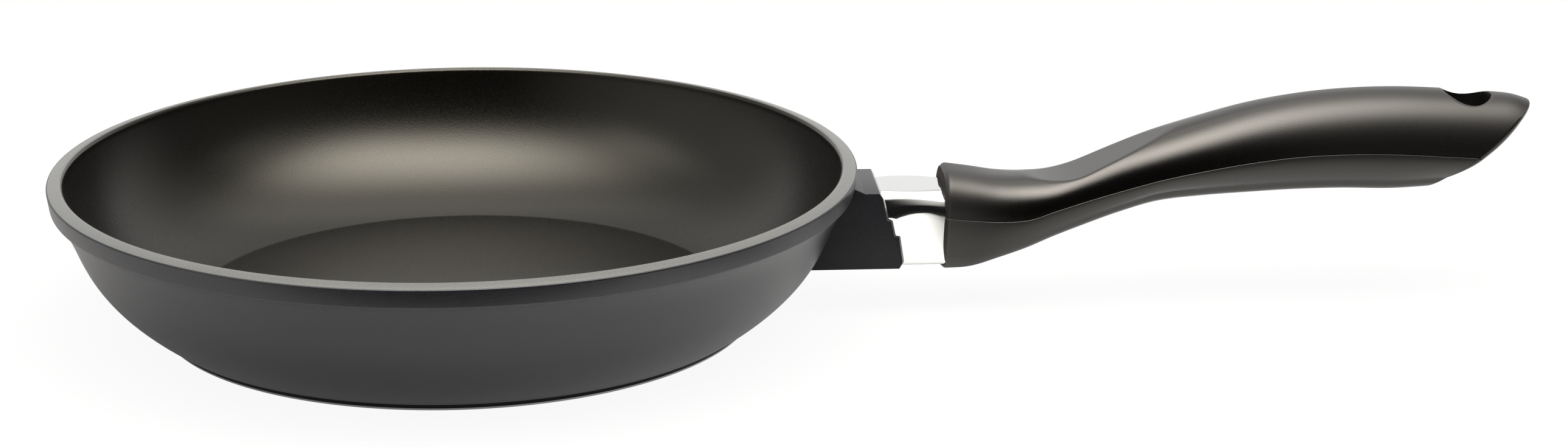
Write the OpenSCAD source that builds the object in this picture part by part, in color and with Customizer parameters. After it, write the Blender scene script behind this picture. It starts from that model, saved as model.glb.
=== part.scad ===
// Cast frying pan with a polished flame guard and a screwed-on moulded handle.
// The origin is the centre of the base's underside. Z is up and the handle lies along +X.

/* [Bowl] */
// Radius of the rim's outer edge
rim_r = 120; // [110:1:140]
// Height of the rim's highest line above the table
rim_h = 46.1; // [42:0.1:60]
// Width of the rim's sloping top, without its inner rounding
rim_top_w = 3.5; // [2.5:0.1:5]
// Fall of the rim's top towards its outer edge
rim_fall = 1; // [0:0.1:1.5]
// Rounding of the rim's inner edge
rim_round = 1.4; // [0.6:0.1:2]
// Height of the plain band below the rim's outer edge
band_h = 5.2; // [3:0.1:7]
// Draw-in of the band at its seam
band_draft = 0.7; // [0:0.1:1.2]
// Radius of the bowl where its wall meets the foot
base_r = 90.6; // [80:0.1:95]
// Height of the foot that the bowl stands on
foot_h = 2.2; // [1:0.1:3]
// Step of the foot inside the base's edge
foot_step = 1.4; // [0.5:0.1:3]
// Distance from the base's edge in to the edge of the flat cooking floor
heel_w = 10.6; // [6:0.1:14]
// Thickness of the floor above the table
floor_t = 5; // [4:0.1:7]

/* [Base rings] */
// Radius of the plain disc in the middle of the base
ring_r = 16; // [8:1:30]
// Width of the plain land outside the last turned groove
ring_land = 14; // [8:0.5:20]
// Width of a turned groove
ring_w = 2.4; // [1:0.1:4]
// Depth of a turned groove
ring_d = 0.4; // [0.2:0.1:0.8]
// Number of turned grooves
ring_count = 7; // [2:1:7]

/* [Lug] */
// Width of the lug across the handle
lug_w = 27.2; // [22:0.1:30]
// Distance from the band's seam down to the lug's top
lug_fall = 1.9; // [1:0.1:4]
// Height of the lug
lug_h = 23.8; // [20:0.1:26]
// Distance from the rim's outer edge to the lug's far end
lug_reach = 13.5; // [11:0.1:20]
// Rounding of the lug's long edges
lug_round = 0.8; // [0.3:0.1:2]
// Width of the tongue inside the handle
tongue_w = 16; // [12:0.5:18]
// Height of the tongue
tongue_h = 11; // [10:0.5:12]
// Height of the tongue's underside above the lug's underside
tongue_rise = 9.3; // [9:0.1:10.2]
// Length of the tongue inside the handle
tongue_in = 26.5; // [24:0.5:30]

/* [Flame guard] */
// Step of the guard inside the lug's faces
guard_step = 0.7; // [0.3:0.1:1.2]
// Sheet thickness of the guard
guard_t = 0.8; // [0.5:0.1:1.2]
// Corner radius of the guard
guard_round = 1.6; // [1:0.1:3]
// Lean of the guard's upper flanks at their top
guard_lean = 0.8; // [0:0.1:1.2]
// Length of the guard that shows between lug and handle
guard_show = 11.7; // [9:0.1:20]
// Depth of the rebate in the handle's front that the guard ends in
guard_seat = 2.4; // [2:0.1:3.5]

/* [Handle] */
// Length of the handle from its front face to the tip
handle_len = 181.4; // [170:0.1:200]
// Height of the handle's highest line above its front corner
handle_rise = 51.9; // [46:0.1:56]
// Depth of the handle's front below the lug's underside
handle_drop = 1.1; // [0.5:0.1:2.5]
// Width of the grip at its widest
grip_w = 29.6; // [28:0.1:34]
// Radius of the corners under the handle
under_round = 5; // [3:0.1:6]
// Width of the ledge at the parting crease
crease_step = 0.25; // [0.1:0.05:0.4]
// Rounding of the front edge
front_round = 2.1; // [0.8:0.1:2.5]
// Distance that the front face leans back from its bottom to its top
front_lean = 1.2; // [0:0.1:1.5]
// Angle of the slanted tail from level
tail_angle = 39.5; // [35:0.5:45]
// Rounding of the tail's edge
tail_round = 1.9; // [1:0.1:2.5]
// Extra rounding of the tip along the tail's slant
nose_round = 3.4; // [0:0.1:4]
// Radius of the hanging hole
hang_r = 7.5; // [6:0.1:8]
// Distance from the tip to the hanging hole's axis
hang_back = 19.6; // [18:0.1:24]
// Radius of the thumb scoop where it is tightest
scoop_r = 28; // [20:0.5:40]
// Angle of the thumb scoop's straight slope
scoop_angle = 25; // [22:0.5:27]

/* [Screw joint] */
// Nominal diameter of the screw
screw_d = 5; // [4:0.5:5]
// Distance of the screw's axis from the handle's front, at the tongue's underside
screw_in = 11; // [10:0.5:13]
// Lean of the screw towards the pan
screw_lean = 15; // [0:1:20]
// Diameter of the screw's head
head_d = 9; // [7:0.1:9.4]
// Height of the screw's head
head_h = 2.8; // [2:0.1:3]
// Diameter of the pocket for the head
pocket_d = 10.6; // [10.4:0.1:11]
// Plastic between the pocket's floor and the tongue's socket
seat_t = 3.2; // [3:0.1:3.6]
// Thickness of the flat washer
washer_t = 1; // [0.8:0.1:1.1]
// Thickness of the spring washer
spring_t = 1.2; // [1:0.1:1.3]
// Outer diameter of the thread insert
insert_d = 7.6; // [7:0.1:8]
// Length of the thread insert
insert_len = 8; // [6:0.1:8.5]

/* [Fits] */
// Clearance between parts that slide together
fit_gap = 0.2; // [0.1:0.05:0.3]
// Clearance round the screw in its thread insert
thread_gap = 0.05; // [0.02:0.01:0.1]

/* [Hidden] */

// Overrun of every cut
over = 1;
// Facets of true rounds
$fn = 96;
// Steps of a small rounded corner
corner_steps = 8;

// Rounds and curves

// Points on an arc from angle a to angle b
function arc(cx, cy, r, a, b, n) = [
    for (i = [0:n]) let (t = a + (b - a) * i / n) [cx + r * cos(t), cy + r * sin(t)]];

// Point at share t of the cubic curve through four control points
function cubic(p, t) = let (u = 1 - t)
    u * u * u * p[0] + 3 * t * u * u * p[1] + 3 * t * t * u * p[2] + t * t * t * p[3];

// Four control points that lie at shares of the box between two corners
function spread(shares, low, high) = [
    for (s = shares) [low[0] + (high[0] - low[0]) * s[0], low[1] + (high[1] - low[1]) * s[1]]];

// Outline of a rectangle with rounded corners, upper corners drawn in by lean
function round_box(w, low, high, r, lean) = let (h = w / 2, mid = (low + high) / 2) concat(
    arc(h - r, low + r, r, -90, 0, corner_steps),
    [[h, mid]],
    arc(h - r - lean, high - r, r, 0, 90, corner_steps),
    arc(r + lean - h, high - r, r, 90, 180, corner_steps),
    [[-h, mid]],
    arc(r - h, low + r, r, 180, 270, corner_steps));

// Extrudes an outline drawn in X and Z across the handle
module across(width) {
    translate([0, width / 2, 0]) rotate([90, 0, 0]) linear_extrude(width) children();
}

// Extrudes an outline drawn in Y and Z along the handle from x
module along(x, length) {
    translate([x, 0, 0]) rotate([90, 0, 90]) linear_extrude(length) children();
}

// Bowl

wall_steps = 28;
seam_r = rim_r - band_draft;
edge_h = rim_h - rim_fall;
seam_h = edge_h - band_h;
floor_r = base_r - heel_w;
crest_r = rim_r - rim_top_w;
inner_r = crest_r - rim_round;
// Control points of the outer wall, as shares of the way from the base's edge to the seam
outer_shares = [[0, 0], [0.88, 0.46], [0.68, 0.78], [1, 1]];
// Control points of the inner wall, as shares of the way from the floor's edge to the rim
inner_shares = [[0, 0], [0.33, 0.10], [0.84, 0.32], [1, 1]];
foot_r = base_r - foot_step;
foot_round = foot_h / 3;

outer_curve = spread(outer_shares, [base_r, foot_h], [seam_r, seam_h]);
inner_curve = spread(inner_shares, [floor_r, floor_t], [inner_r, rim_h - rim_round]);

outer_wall = [for (i = [0:wall_steps]) cubic(outer_curve, i / wall_steps)];
inner_wall = [for (i = [0:wall_steps]) cubic(inner_curve, i / wall_steps)];

module bowl_outside() {
    rotate_extrude() polygon(concat(
        [[0, 0]],
        arc(foot_r - foot_round, foot_round, foot_round, -90, 0, corner_steps),
        [[foot_r, foot_h]],
        outer_wall,
        [[rim_r, edge_h], [crest_r, rim_h], [0, rim_h]]));
}

module bowl_inside() {
    rotate_extrude() polygon(concat(
        [[0, floor_t]],
        inner_wall,
        arc(crest_r, rim_h - rim_round, rim_round, 180, 90, corner_steps),
        [[crest_r, rim_h + over], [0, rim_h + over]]));
}

ring_pitch = (foot_r - ring_land - ring_w - ring_r) / (ring_count - 1);

module base_grooves() {
    for (i = [0:ring_count - 1]) translate([0, 0, -over])
        difference() {
            cylinder(h = over + ring_d, r = ring_r + i * ring_pitch + ring_w);
            translate([0, 0, -over]) cylinder(h = ring_d + 3 * over, r = ring_r + i * ring_pitch);
        }
}

// Lug

lug_end = rim_r + lug_reach;
lug_top = seam_h - lug_fall;
lug_low = lug_top - lug_h;
// Lug's end line from its underside up: share of its reach, share of its height
end_shares = [[0.92, 0], [1, 0.08], [0.90, 0.425], [0.80, 0.431],
    [0.725, 0.635], [0.64, 0.643], [0.53, 0.936], [0.45, 1]];
end_line = spread(end_shares, [rim_r, lug_low], [lug_end, lug_top]);
lug_root = base_r + foot_step;
fillet_reach = lug_reach / 8;

module lug_side() {
    polygon(concat(
        [[lug_root, lug_low]],
        end_line,
        [[rim_r + fillet_reach, lug_top], [seam_r - fillet_reach, seam_h], [lug_root, seam_h]]));
}

module lug() {
    intersection() {
        across(lug_w) lug_side();
        along(lug_root - over, lug_end - lug_root + 2 * over)
            polygon(round_box(lug_w, lug_low, seam_h, lug_round, 0));
    }
}

handle_x = lug_end + guard_show;
tongue_end = handle_x + tongue_in;
tongue_low = lug_low + tongue_rise;
tongue_top = tongue_low + tongue_h;
tongue_round = tongue_h / 5;
pilot_len = guard_show / 3;

module tongue() {
    along(rim_r, tongue_end - rim_r) polygon(round_box(tongue_w, tongue_low, tongue_top, tongue_round, 0));
    along(rim_r, lug_end - rim_r + pilot_len) polygon(round_box(guard_in_w - 2 * fit_gap,
        guard_low + guard_t + fit_gap, guard_top - guard_t - fit_gap, guard_in_round, guard_lean));
}

module pan_body() {
    color([0.2, 0.2, 0.22]) difference() {
        union() {
            bowl_outside();
            lug();
            tongue();
        }
        bowl_inside();
        base_grooves();
        at_screw() translate([0, 0, -tongue_h])
            cylinder(h = tongue_h + insert_in + insert_len, d = insert_d + 2 * thread_gap);
    }
}

// Flame guard

guard_w = lug_w - 2 * guard_step;
guard_in_w = guard_w - 2 * guard_t;
guard_in_round = guard_round - guard_t / 2;
guard_low = lug_low + guard_step;
guard_top = lug_top - guard_step;
guard_end = handle_x + guard_seat;

module flame_guard() {
    color([0.85, 0.85, 0.84]) difference() {
        along(rim_r, guard_end - rim_r) difference() {
            polygon(round_box(guard_w, guard_low, guard_top, guard_round, guard_lean));
            polygon(round_box(guard_in_w,
                guard_low + guard_t, guard_top - guard_t, guard_in_round, guard_lean));
        }
        across(2 * lug_w) lug_side();
    }
}

// Handle

handle_low = lug_low - handle_drop;
half_grip = grip_w / 2;

// One row for each place along the handle: share of its length; crest, crease and underside as
// shares of its rise; half width at the crease and underneath as shares of half the grip's width;
// squareness of the top
handle_shares = [
    [0.000, 0.566, 0.327, -0.004, 0.95, 0.92, 3.0],
    [0.050, 0.545, 0.311, 0.005, 0.96, 0.91, 2.8],
    [0.100, 0.521, 0.301, 0.054, 0.95, 0.88, 2.6],
    [0.145, 0.516, 0.307, 0.102, 0.92, 0.82, 2.5],
    [0.190, 0.532, 0.355, 0.163, 0.89, 0.76, 2.4],
    [0.245, 0.602, 0.415, 0.233, 0.88, 0.72, 2.3],
    [0.300, 0.683, 0.471, 0.299, 0.89, 0.69, 2.2],
    [0.365, 0.759, 0.535, 0.362, 0.93, 0.67, 2.2],
    [0.440, 0.838, 0.590, 0.389, 0.96, 0.65, 2.2],
    [0.520, 0.913, 0.637, 0.405, 0.98, 0.64, 2.2],
    [0.600, 0.963, 0.668, 0.418, 0.99, 0.64, 2.2],
    [0.680, 0.991, 0.678, 0.421, 1.00, 0.64, 2.2],
    [0.765, 0.999, 0.672, 0.414, 1.00, 0.64, 2.2],
    [0.850, 0.986, 0.652, 0.428, 0.99, 0.64, 2.2],
    [0.930, 0.963, 0.632, 0.438, 0.96, 0.64, 2.2],
    [0.970, 0.948, 0.621, 0.441, 0.93, 0.63, 2.2],
    [1.000, 0.916, 0.608, 0.443, 0.89, 0.62, 2.2],
    [1.030, 0.875, 0.592, 0.444, 0.85, 0.61, 2.2]
];
last_row = len(handle_shares) - 1;

// Row of the table that share s of the length lies behind
function row_at(s, i = 0) = i >= last_row - 1 || s < handle_shares[i + 1][0] ? i : row_at(s, i + 1);

// Slope of column c at row i
function slope(i, c) = let (a = max(i - 1, 0), b = min(i + 1, last_row))
    (handle_shares[b][c] - handle_shares[a][c]) / (handle_shares[b][0] - handle_shares[a][0]);

// Smooth value of column c at share s of the length
function smooth(s, c) = let (
    i = row_at(s),
    w = handle_shares[i + 1][0] - handle_shares[i][0],
    t = (s - handle_shares[i][0]) / w,
    a = handle_shares[i][c],
    b = handle_shares[i + 1][c])
    a * (1 + 2 * t) * pow(1 - t, 2) + b * t * t * (3 - 2 * t)
    + w * (slope(i, c) * t * pow(1 - t, 2) - slope(i + 1, c) * t * t * (1 - t));

top_steps = 22;
under_steps = 5;

// Section of the handle at x, as [y, z] points from the near crease over the crest and back underneath
function section(x) = let (
    s = (x - handle_x) / handle_len,
    crest = handle_low + handle_rise * smooth(s, 1),
    crease = handle_low + handle_rise * smooth(s, 2),
    under = handle_low + handle_rise * smooth(s, 3),
    half = half_grip * smooth(s, 4),
    low = half_grip * smooth(s, 5),
    power = 2 / smooth(s, 6))
    concat(
        [for (i = [0:top_steps]) let (t = 180 - 180 * i / top_steps, side = sign(top_steps - 2 * i))
            [-half * side * pow(abs(cos(t)), power), crease + (crest - crease) * pow(sin(t), power)]],
        [[half - crease_step, crease - crease_step]],
        arc(low - under_round, under + under_round, under_round, 0, -90, under_steps),
        arc(under_round - low, under + under_round, under_round, -90, -180, under_steps),
        [[crease_step - half, crease - crease_step]]);

ring_size = len(section(handle_x));

// Place of the tail plane's middle: share of the handle's length, share of its rise
tail_share = [0.8995, 0.645];
// Share of the length at which the rings start to lean towards the tail's plane
lean_share = 0.7;
// Power that the lean grows with
lean_power = 1.5;

// Tail: rings lean over until they lie in the slanted plane
tail_cot = 1 / tan(tail_angle);
tail_x = handle_x + handle_len * tail_share[0];
tail_h = handle_low + handle_rise * tail_share[1];
lean_x = handle_x + handle_len * lean_share;
tail_out = [sin(tail_angle), 0, -cos(tail_angle)];

// Place along the handle of point i of a ring that crosses tail_h at x and leans by share k
function leaned(x, k, i) = let (
    a = x + k * tail_cot * (section(x)[i][1] - tail_h),
    b = x + k * tail_cot * (section(a)[i][1] - tail_h))
    x + k * tail_cot * (section(b)[i][1] - tail_h);

function ring(x, k) = [
    for (i = [0:ring_size - 1]) let (q = k == 0 ? x : leaned(x, k, i), p = section(q)[i]) [q, p[0], p[1]]];

// First whole ring behind the rounded front edge, leaning back with the front face
front_ring = let (r = ring(handle_x + front_round, 0), top = section(handle_x)[top_steps / 2][1])
    [for (p = r) p + [front_lean * (p[2] - handle_low) / (top - handle_low), 0, 0]];

// Middle of a ring
function middle(r) = let (total = [for (p = r) 1] * r) total / len(r);

// Ring drawn in towards its middle by inset, and by nose more at its top, moved by shift and kept above low
function drawn_in(r, inset, shift, nose = 0, low = 0) = let (
    c = middle(r),
    high = r[top_steps / 2][2] - c[2])
    [for (p = r) let (
        share = pow(max(0, p[2] - c[2]) / high, 3),
        q = p + (c - p) * (inset + nose * share) / norm(c - p) + shift)
        [q[0], q[1], max(q[2], low)]];

front_steps = 4;
body_steps = 40;
tail_steps = 12;
edge_steps = 5;

front_rings = [for (j = [0:front_steps]) let (a = 90 - 90 * j / front_steps)
    drawn_in(front_ring, front_round * (1 - cos(a)), [-front_round * sin(a), 0, 0])];
body_from = handle_x + front_round;
body_rings = [for (j = [1:body_steps]) ring(body_from + (lean_x - body_from) * j / body_steps, 0)];
tail_rings = [for (j = [1:tail_steps]) let (k = j / tail_steps)
    ring(lean_x + (tail_x - lean_x) * k, pow(k, lean_power))];
tail_ring = tail_rings[tail_steps - 1];
tail_low = min([for (p = tail_ring) p[2]]);
edge_rings = [for (j = [1:edge_steps]) let (a = 90 * j / edge_steps, in = 1 - cos(a))
    drawn_in(tail_ring, tail_round * in, tail_round * sin(a) * tail_out, nose_round * in, tail_low)];
rings = concat(front_rings, body_rings, tail_rings, edge_rings);

// Skin through a list of rings of equal size, closed with a fan at each end
module skin(rings) {
    m = len(rings[0]);
    n = len(rings);
    points = concat([for (r = rings) each r], [middle(rings[0]), middle(rings[n - 1])]);
    polyhedron(points, concat(
        [for (j = [0:n - 2], i = [0:m - 1]) [j * m + i, j * m + (i + 1) % m, (j + 1) * m + (i + 1) % m]],
        [for (j = [0:n - 2], i = [0:m - 1]) [j * m + i, (j + 1) * m + (i + 1) % m, (j + 1) * m + i]],
        [for (i = [0:m - 1]) [n * m, (i + 1) % m, i]],
        [for (i = [0:m - 1]) [n * m + 1, (n - 1) * m + i, (n - 1) * m + (i + 1) % m]]));
}

// Place of the thumb scoop's lowest line: share of the handle's length, share of its rise
scoop_share = [0.183, 0.503];

// Thumb scoop: everything above a tight arc and the straight slope that leaves it
scoop_x = handle_x + handle_len * scoop_share[0];
scoop_low = handle_low + handle_rise * scoop_share[1];

module thumb_scoop() {
    top = handle_rise;
    foot = [scoop_x + scoop_r * sin(scoop_angle), scoop_low + scoop_r * (1 - cos(scoop_angle))];
    across(2 * grip_w) polygon(concat(
        arc(scoop_x, scoop_low + scoop_r, scoop_r,
            270 - 2 * scoop_angle, 270 + scoop_angle, 3 * corner_steps),
        [[foot[0] + top * cos(scoop_angle), foot[1] + top * sin(scoop_angle)],
            [foot[0] - top * sin(scoop_angle), foot[1] + top * cos(scoop_angle)]]));
}

// Screw joint

insert_in = screw_d / 5;
seat_z = -(seat_t + fit_gap);

// Puts children on the screw's axis, zero at the tongue's underside and +Z up into the tongue
module at_screw() {
    translate([handle_x + screw_in, 0, tongue_low]) rotate([0, -screw_lean, 0]) children();
}

hang_x = handle_x + handle_len - hang_back;

module handle() {
    color([0.13, 0.12, 0.12]) difference() {
        skin(rings);
        thumb_scoop();
        translate([hang_x, 0, 0]) cylinder(h = 2 * handle_rise, r = hang_r);
        along(handle_x - over, guard_seat + over) polygon(round_box(guard_w + 2 * fit_gap,
            guard_low - fit_gap, guard_top + fit_gap, guard_round + fit_gap, guard_lean));
        along(handle_x - over, tongue_end - handle_x + over + 2 * fit_gap)
            polygon(round_box(tongue_w + 2 * fit_gap,
                tongue_low - fit_gap, tongue_top + fit_gap, tongue_round, 0));
        at_screw() {
            translate([0, 0, -tongue_h]) cylinder(h = tongue_h + over, d = screw_d + 2 * fit_gap);
            translate([0, 0, seat_z - handle_rise]) cylinder(h = handle_rise, d = pocket_d);
        }
    }
}

module thread_insert() {
    color([0.7, 0.65, 0.45]) at_screw() translate([0, 0, insert_in]) difference() {
        cylinder(h = insert_len, d = insert_d);
        translate([0, 0, -over]) cylinder(h = insert_len + 2 * over, d = screw_d + 2 * thread_gap);
    }
}

washer_d = pocket_d - 2 * fit_gap;

module flat_washer() {
    color([0.75, 0.75, 0.77]) at_screw() translate([0, 0, seat_z - washer_t]) difference() {
        cylinder(h = washer_t, d = washer_d);
        translate([0, 0, -over]) cylinder(h = washer_t + 2 * over, d = screw_d + 2 * fit_gap);
    }
}

split_w = spring_t / 2;

module spring_washer() {
    color([0.6, 0.6, 0.62]) at_screw() translate([0, 0, seat_z - washer_t - spring_t]) difference() {
        cylinder(h = spring_t, d = head_d);
        translate([0, 0, -over]) cylinder(h = spring_t + 2 * over, d = screw_d + 2 * fit_gap);
        translate([screw_d / 2, -split_w / 2, -over]) cube([head_d, split_w, spring_t + 2 * over]);
    }
}

head_z = seat_z - washer_t - spring_t - head_h;
head_edge = head_h / 4;
cross_l = head_d / 2;
cross_w = head_d / 8;
cross_d = head_h / 2;

module handle_screw() {
    color([0.72, 0.72, 0.74]) at_screw() translate([0, 0, head_z]) difference() {
        rotate_extrude() polygon(concat(
            [[0, 0]],
            arc(head_d / 2 - head_edge, head_edge, head_edge, -90, 0, corner_steps),
            [[head_d / 2, head_h], [screw_d / 2, head_h], [screw_d / 2, shank_top - tip_bevel],
                [screw_d / 2 - tip_bevel, shank_top], [0, shank_top]]));
        for (a = [0, 90]) rotate([0, 0, a]) translate([-cross_l / 2, -cross_w / 2, -over])
            cube([cross_l, cross_w, cross_d + over]);
    }
}

tip_bevel = screw_d / 8;
shank_top = head_h + spring_t + washer_t + seat_t + fit_gap + insert_in + insert_len;

pan_body();
flame_guard();
handle();
thread_insert();
handle_screw();
spring_washer();
flat_washer();
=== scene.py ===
import math
import bpy
import bmesh
import numpy as np
from mathutils import Euler, Matrix, Vector


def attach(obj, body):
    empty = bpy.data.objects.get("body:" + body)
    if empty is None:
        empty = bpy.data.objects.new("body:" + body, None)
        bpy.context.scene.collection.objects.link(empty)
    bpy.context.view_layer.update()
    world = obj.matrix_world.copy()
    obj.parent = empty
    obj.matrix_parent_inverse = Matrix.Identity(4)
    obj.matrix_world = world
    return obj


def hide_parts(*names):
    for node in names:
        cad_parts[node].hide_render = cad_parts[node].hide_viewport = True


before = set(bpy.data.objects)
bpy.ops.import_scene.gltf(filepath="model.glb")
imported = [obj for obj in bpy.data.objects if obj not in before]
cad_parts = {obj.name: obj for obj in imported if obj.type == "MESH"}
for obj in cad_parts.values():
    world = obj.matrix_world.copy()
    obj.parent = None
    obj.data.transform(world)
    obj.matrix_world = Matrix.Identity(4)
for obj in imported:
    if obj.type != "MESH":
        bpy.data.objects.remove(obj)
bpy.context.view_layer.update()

# Lengths are in millimetres, as in the CAD, and become metres when a mesh is made
MM = 0.001
# Most of a side that the rounding at one of its ends may take
SIDE_SHARE = 0.48
# Edges that turn by more than this are sharp
SHARP_TURN = math.radians(30)

# Bowl
RIM_R = 120.0
RIM_H = 46.1
RIM_FALL = 1.0
RIM_TOP_W = 3.5
RIM_ROUND = 1.4
BAND_H = 5.2
BAND_DRAFT = 0.7
BASE_R = 90.6
FOOT_H = 2.2
FOOT_STEP = 1.4
HEEL_W = 10.6
FLOOR_T = 5.0
RING_R = 16.0
RING_LAND = 14.0
RING_W = 2.4
RING_D = 0.4
RING_COUNT = 7
EDGE_H = RIM_H - RIM_FALL
SEAM_R = RIM_R - BAND_DRAFT
SEAM_H = EDGE_H - BAND_H
FLOOR_R = BASE_R - HEEL_W
FOOT_R = BASE_R - FOOT_STEP
CREST_R = RIM_R - RIM_TOP_W
INNER_R = CREST_R - RIM_ROUND
# Control points of the walls, as shares of the way from their foot to the seam or rim
OUTER = [(0, 0), (0.88, 0.46), (0.68, 0.78), (1, 1)]
INNER = [(0, 0), (0.33, 0.10), (0.84, 0.32), (1, 1)]
SEGMENTS = 256
CURVE_STEPS = 60
# Radii of the mesh's rings across the flat floor
FLOOR_RINGS = (60, 45, 30, 15, 0)
# Roundings of the bowl's edges, from its middle underneath to its floor
RING_SOFT = 0.1
FOOT_SOFT = 0.2
WALL_SOFT = 0.3
SEAM_SOFT = 0.35
BAND_SOFT = 0.45
HEEL_SOFT = 1.0
# Width of the foot's ledge that is coated like the wall
LEDGE_W = 0.8

# Lug and tongue
LUG_W = 27.2
LUG_FALL = 1.9
LUG_H = 23.8
LUG_REACH = 13.5
LUG_EDGE = 0.6
LUG_END = RIM_R + LUG_REACH
LUG_TOP = SEAM_H - LUG_FALL
LUG_LOW = LUG_TOP - LUG_H
LUG_SINK = 2.2
# How far the slope from the lug's top up to the seam reaches past the rim, and past the seam
LUG_SLOPE = LUG_REACH / 8
# Lug's end line from its underside up: share of its reach, share of its height
END_LINE = [(0.92, 0), (1, 0.08), (0.90, 0.425), (0.80, 0.431),
            (0.725, 0.635), (0.64, 0.643), (0.53, 0.936), (0.45, 1)]
TONGUE_W = 16.0
TONGUE_H = 11.0
TONGUE_LOW = LUG_LOW + 9.3
TONGUE_IN = 26.5

# Flame guard
GUARD_T = 0.8
GUARD_W = LUG_W - 1.4
GUARD_LOW = LUG_LOW + 0.7
GUARD_TOP = LUG_TOP - 0.7
GUARD_ROUND = 1.6
GUARD_EDGE = 0.5
# Lengths that show and that sit in the handle, and the place from which the outline's change counts
GUARD_SHOW = 11.7
GUARD_SEAT = 2.4
GUARD_FROM = LUG_END - 5.5
# Heights at which the guard's flank has turned by each angle: at the lug, halfway and at the handle
TURN = [0, 5, 28, 31, 32, 51, 90]
TURN_AT = [(27.4, 29.2, 32.6, 33.0, 35.0, 36.2, 37.3),
           (30.6, 32.0, 33.3, 33.8, 35.4, 36.2, 37.3),
           (29.8, 31.2, 32.4, 33.3, 34.4, 35.0, 37.3)]

# Handle
HANDLE_X = LUG_END + GUARD_SHOW
HANDLE_LEN = 181.4
HANDLE_RISE = 51.9
HANDLE_LOW = LUG_LOW - 1.1
HALF_GRIP = 14.8
# Edge of the underside: its rounding, and the turn at which that starts
UNDER_ROUND = 5.0
UNDER_TURN = math.radians(20)
# Lean of the dome above the crease, and of the flank below it
DOME_LEAN = math.radians(6)
FLANK_LEAN = math.radians(3)
# How far the front face leans back at its top, and the length behind it over which that fades
FRONT_LEAN = 1.2
FRONT_BLEND = 15.0
# Slant of the tail, and a point on it
TAIL_ANGLE = math.radians(39.5)
TAIL_COT = 1 / math.tan(TAIL_ANGLE)
TAIL_X = HANDLE_X + HANDLE_LEN * 0.8995
TAIL_H = HANDLE_LOW + HANDLE_RISE * 0.645
# Where the rings start to lean towards the slant, and how gently
LEAN_X = HANDLE_X + HANDLE_LEN * 0.7
LEAN_POWER = 1.5
# Rounding of the tail's edge, and how much more its top is drawn in
TAIL_ROUND = 2.2
NOSE_ROUND = 7.5
# Hanging hole, with the rounding of its mouth
HANG_R = 7.5
HANG_X = HANDLE_X + HANDLE_LEN - 19.6
MOUTH_ROUND = 0.7
# Thumb scoop: its arc, the softness of its edge, and how steeply the cut climbs in front of it
SCOOP_R = 28.0
SCOOP_ANGLE = math.radians(25)
SCOOP_X = HANDLE_X + HANDLE_LEN * 0.183
SCOOP_LOW = HANDLE_LOW + HANDLE_RISE * 0.503
SCOOP_SOFT = 0.5
SCOOP_LIFT = 1.2
# Play between the guard and its seat
SEAT_GAP = 0.15
# Behind the front face: where the duller finish of the front ends, and where that of the tail sets in
DULL_FRONT = 32.0
DULL_TAIL = (55.0, 125.0)
# Handle's front edge: how far each ring is drawn in, and how far it lies behind the front face
FRONT_EDGE = [(2.6, 0), (1.25, 0), (1.1, 0.04), (0.95, 0.16),
              (0.3, 0.85), (0.12, 1.08), (0.03, 1.35), (0, 1.7)]
# Parting ledge at the crease: how far its points lie inside the crease and below it
LEDGE = [(0.3, 0.0), (0.0, 0.28)]
# One row for each place along the handle: share of its length; crest, crease and underside as
# shares of its rise; half width at the crease and underneath as shares of half the grip's width;
# squareness of the top
ROWS = np.array([
    [0.000, 0.566, 0.327, -0.004, 0.95, 0.92, 3.0],
    [0.050, 0.545, 0.311, 0.005, 0.96, 0.91, 2.8],
    [0.100, 0.521, 0.301, 0.054, 0.95, 0.88, 2.6],
    [0.145, 0.516, 0.307, 0.102, 0.92, 0.82, 2.5],
    [0.190, 0.532, 0.355, 0.163, 0.89, 0.76, 2.4],
    [0.245, 0.602, 0.415, 0.233, 0.88, 0.72, 2.3],
    [0.300, 0.683, 0.471, 0.299, 0.89, 0.69, 2.2],
    [0.365, 0.759, 0.535, 0.362, 0.93, 0.67, 2.2],
    [0.440, 0.838, 0.590, 0.389, 0.96, 0.65, 2.2],
    [0.520, 0.913, 0.637, 0.405, 0.98, 0.64, 2.2],
    [0.600, 0.963, 0.668, 0.418, 0.99, 0.64, 2.2],
    [0.680, 0.991, 0.678, 0.421, 1.00, 0.64, 2.2],
    [0.765, 0.999, 0.672, 0.414, 1.00, 0.64, 2.2],
    [0.850, 0.986, 0.652, 0.428, 0.99, 0.64, 2.2],
    [0.930, 0.963, 0.632, 0.438, 0.96, 0.64, 2.2],
    [0.970, 0.948, 0.621, 0.441, 0.93, 0.63, 2.2],
    [1.000, 0.916, 0.608, 0.443, 0.89, 0.62, 2.2],
    [1.030, 0.875, 0.592, 0.444, 0.85, 0.61, 2.2]])
TOP_STEPS = 96
FLANK_STEPS = 8
ARC_STEPS = 8
UNDER_STEPS = 6
BODY_STEPS = 130
TAIL_STEPS = 100
EDGE_STEPS = 10

# Screw pocket
SCREW_X = HANDLE_X + 11.0
SCREW_LEAN = math.radians(15)
POCKET_R = 5.3
POCKET_TOP = -3.4

# How far the handle's cutting tools reach past it: up, forward, and down along the screw
HOLE_REACH = 120
SEAT_REACH = 3
POCKET_REACH = 50

# Floor, and the dark card over it that only reflections see
FLOOR_REACH = 6000
FLOOR_DROP = 0.2
FLOOR_WHITE = 0.93
FLOOR_GLOSS = 0.45
CARD_LEFT = -160
CARD_RIGHT = 4000
CARD_BACK = 20
CARD_H = 1

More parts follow.
